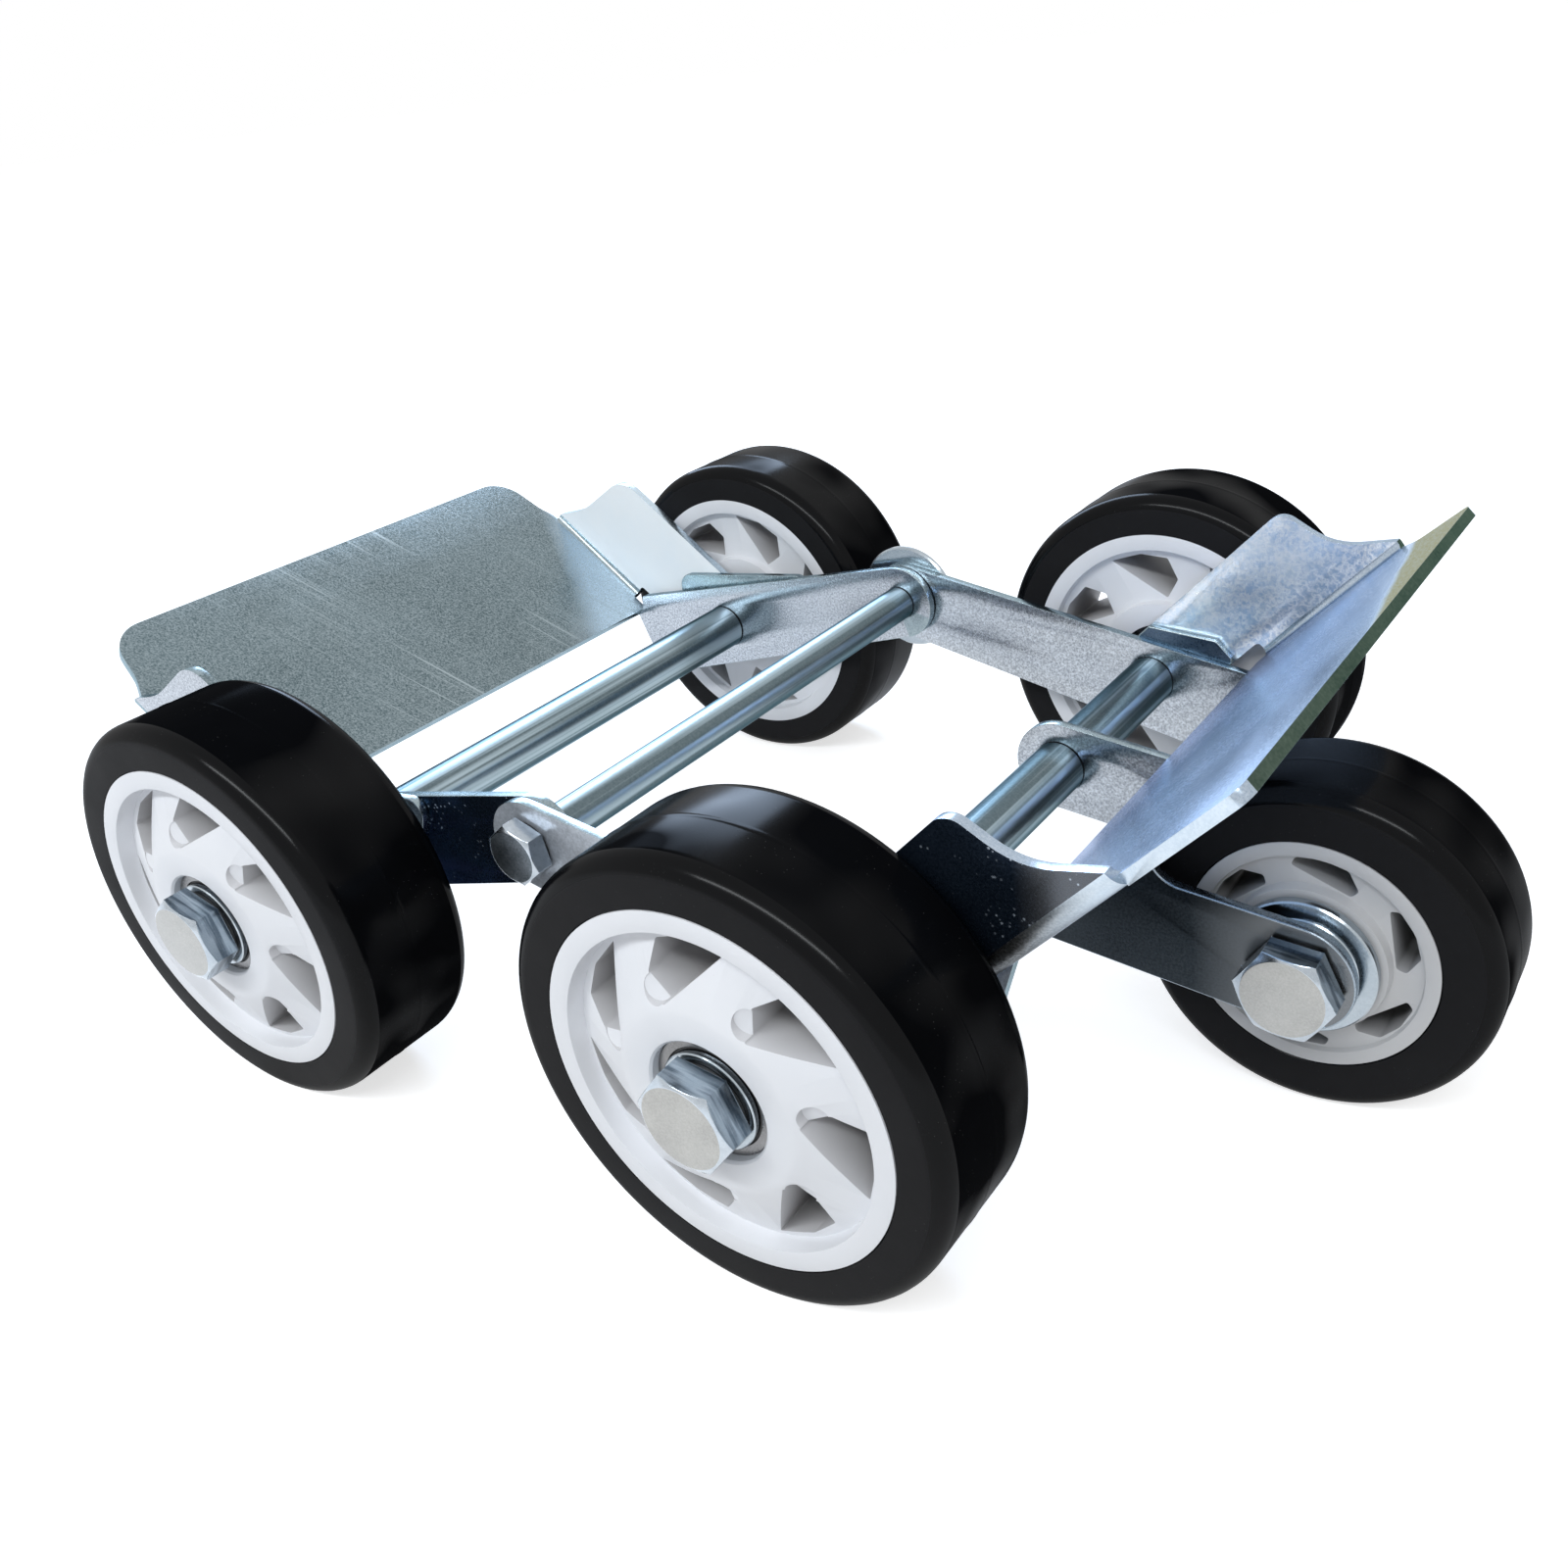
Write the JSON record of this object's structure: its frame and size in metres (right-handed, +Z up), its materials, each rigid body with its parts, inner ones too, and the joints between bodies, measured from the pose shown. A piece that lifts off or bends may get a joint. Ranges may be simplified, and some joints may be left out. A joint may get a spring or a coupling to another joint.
{
  "type": "vehicle skate",
  "caption": "Low skate for a vehicle's wheel: hinged folded-steel plates form an open cradle between solid-tyred wheels on long axle bolts, with a support wheel beyond the steeper plate.",
  "frame": {"origin": "on the ground, under the middle of the outer box", "axes": "+X from the half with the shallow plate to the half with the steep plate and the fifth wheel, +Y across the skate along the axles, away from the side with the bolt heads, +Z up"},
  "size_m": [0.5744, 0.403, 0.1792],
  "materials": {
    "zinc_plate": "zinc plated sheet, satin with fine speckle and light scratches",
    "zinc_link": "zinc plated sheet, satin grey",
    "bright_tube": "bright drawn steel tube, glossy",
    "fastener": "bright zinc plated, satin faces",
    "bearing_steel": "ground steel",
    "tyre": "smooth solid rubber, glossy tread and matt sides",
    "core_plastic": "off-white moulded plastic, light sheen"
  },
  "bodies": {
    "right_half": {"right_plate": "zinc_plate", "right_link_front": "zinc_link", "right_link_back": "zinc_link", "right_packing": "zinc_link", "right_axle_tubes": "bright_tube", "right_axle_bolt": "fastener", "right_axle_nut": "fastener", "right_washers": "fastener", "right_spacers": "bearing_steel", "right_inner_rings": "bearing_steel", "arm_front": "zinc_link", "arm_back": "zinc_link", "fifth_bolt": "fastener", "fifth_nut": "fastener", "fifth_flange_spacer": "fastener", "fifth_back_spacer": "bearing_steel", "fifth_inner_rings": "bearing_steel", "pivot_bolt": "fastener", "pivot_nut": "fastener", "pivot_washer": "fastener"},
    "left_half": {"left_plate": "zinc_plate", "left_link_front": "zinc_link", "left_link_back": "zinc_link", "left_packing": "zinc_link", "left_axle_tube": "bright_tube", "left_axle_bolt": "fastener", "left_axle_nut": "fastener", "left_washers": "fastener", "left_spacers": "bearing_steel", "left_inner_rings": "bearing_steel", "pivot_tube": "bright_tube"},
    "wheel_1": {"tyre_1": "tyre", "core_1": "core_plastic", "bearings_1": "bearing_steel", "balls_1": "bearing_steel"},
    "wheel_2": {"tyre_2": "tyre", "core_2": "core_plastic", "bearings_2": "bearing_steel", "balls_2": "bearing_steel"},
    "wheel_3": {"tyre_3": "tyre", "core_3": "core_plastic", "bearings_3": "bearing_steel", "balls_3": "bearing_steel"},
    "wheel_4": {"tyre_4": "tyre", "core_4": "core_plastic", "bearings_4": "bearing_steel", "balls_4": "bearing_steel"},
    "wheel_5": {"tyre_5": "tyre", "core_5": "core_plastic", "bearings_5": "bearing_steel", "balls_5": "bearing_steel"}
  },
  "joints": [
    {"name": "fold", "type": "hinge", "parent": "right_half", "child": "left_half", "pos_m": [-0.02745, 0, 0.105], "axis": [0, 1, 0], "range_deg": [-70, 110]},
    {"name": "wheel_1_spin", "type": "hinge", "parent": "left_half", "child": "wheel_1", "pos_m": [-0.14105, -0.162, 0.08], "axis": [0, 1, 0], "continuous": true},
    {"name": "wheel_2_spin", "type": "hinge", "parent": "left_half", "child": "wheel_2", "pos_m": [-0.14105, 0.162, 0.08], "axis": [0, 1, 0], "continuous": true},
    {"name": "wheel_3_spin", "type": "hinge", "parent": "right_half", "child": "wheel_3", "pos_m": [0.10045, -0.162, 0.08], "axis": [0, 1, 0], "continuous": true},
    {"name": "wheel_4_spin", "type": "hinge", "parent": "right_half", "child": "wheel_4", "pos_m": [0.10045, 0.162, 0.08], "axis": [0, 1, 0], "continuous": true},
    {"name": "wheel_5_spin", "type": "hinge", "parent": "right_half", "child": "wheel_5", "pos_m": [0.22467, -0.0084, 0.0625], "axis": [0, 1, 0], "continuous": true}
  ]
}
